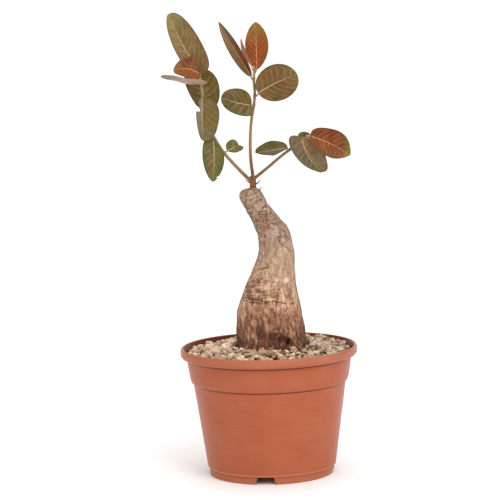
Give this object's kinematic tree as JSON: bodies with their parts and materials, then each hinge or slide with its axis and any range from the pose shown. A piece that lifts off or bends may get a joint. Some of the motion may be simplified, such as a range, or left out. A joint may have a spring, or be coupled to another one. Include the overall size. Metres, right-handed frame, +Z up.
{
  "type": "potted plant",
  "caption": "Swollen-trunked young phyllanthus with thin branchlets and rounded leaves, in a round nursery pot topped with pumice.",
  "frame": {"origin": "axis of the pot, on the table under it", "axes": "+Z up along the pot axis and the trunk, -Y towards the side the picture shows, +X to the right seen from there"},
  "size_m": [0.1785, 0.17, 0.4432],
  "materials": {
    "terracotta_plastic": "satin moulded plastic, lightly scuffed",
    "soil_mix": "dark loose soil mix",
    "pumice": "matt cream pumice grains",
    "bark": "dry flaky bark, fibrous towards the foot",
    "young_bark": "reddish brown young bark",
    "branchlet_skin": "smooth olive tan skin",
    "leaf_olive": "satin bronze olive blade with pale veins",
    "leaf_red": "satin red young blade with pale veins"
  },
  "bodies": {
    "root": {"pot": "terracotta_plastic", "potting_mix": "soil_mix", "pumice_top_dressing": "pumice", "caudex": "bark", "shoot_neck": "young_bark", "branchlet_left": "branchlet_skin", "branchlet_centre": "branchlet_skin", "branchlet_right": "branchlet_skin", "leaf_left_1": "leaf_olive", "leaf_left_2": "leaf_olive", "leaf_left_3": "leaf_olive", "leaf_left_4": "leaf_olive", "leaf_left_5": "leaf_olive", "leaf_left_6": "leaf_red", "leaf_left_7": "leaf_red", "leaf_centre_1": "leaf_olive", "leaf_centre_2": "leaf_olive", "leaf_centre_3": "leaf_olive", "leaf_centre_4": "leaf_red", "leaf_centre_5": "leaf_red", "leaf_right_1": "leaf_olive", "leaf_right_2": "leaf_olive", "leaf_right_3": "leaf_red", "leaf_right_4": "leaf_olive"}
  },
  "joints": []
}
